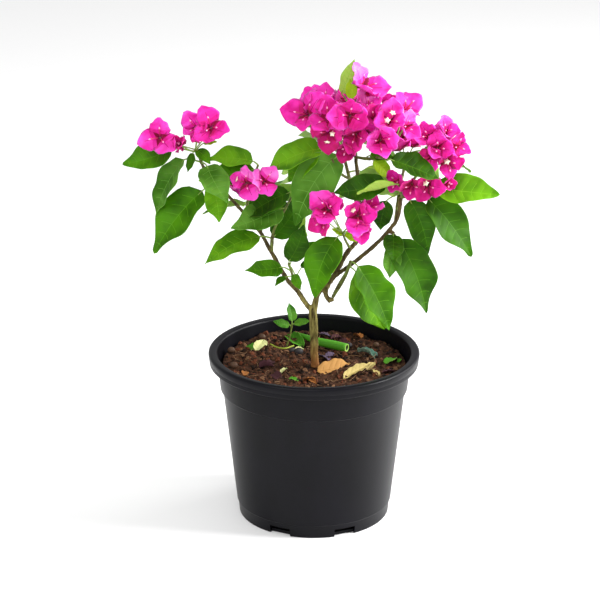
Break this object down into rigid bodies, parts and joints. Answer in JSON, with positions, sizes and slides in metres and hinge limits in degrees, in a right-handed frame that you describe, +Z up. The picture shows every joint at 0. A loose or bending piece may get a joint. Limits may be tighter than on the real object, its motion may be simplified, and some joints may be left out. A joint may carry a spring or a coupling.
{
  "type": "potted bougainvillea bush",
  "caption": "Bougainvillea bush in a round nursery pot: a short trunk forks into slender boughs with drooping leaves and clusters of papery magenta bracts.",
  "frame": {"origin": "middle of the pot's flat underside, on the surface that the pot stands on", "axes": "+Z up along the pot's axis, -Y towards the bush's best side, +X to the right seen from there"},
  "size_m": [0.3463, 0.2206, 0.4465],
  "materials": {
    "pot": "moulded, dull satin",
    "soil": "crumbly, moist",
    "bark": "rough",
    "foliage": "leaf, waxy satin",
    "blossom": "papery"
  },
  "bodies": {
    "root": {"pot": "pot", "soil": "soil", "trunk": "bark", "bough_left": "bark", "bough_centre": "bark", "bough_right": "bark", "pruned_spur": "bark", "shoot_left_tip": "foliage", "shoot_left_upper": "foliage", "shoot_left_spur": "foliage", "shoot_left_middle": "foliage", "shoot_centre_left": "foliage", "shoot_low_right": "foliage", "shoot_low_front": "foliage", "shoot_right_node": "foliage", "shoot_right": "foliage", "shoot_crown": "foliage", "shoot_basal": "foliage", "shoot_back_left": "foliage", "shoot_back_centre": "foliage", "shoot_back_right": "foliage"}
  },
  "joints": []
}
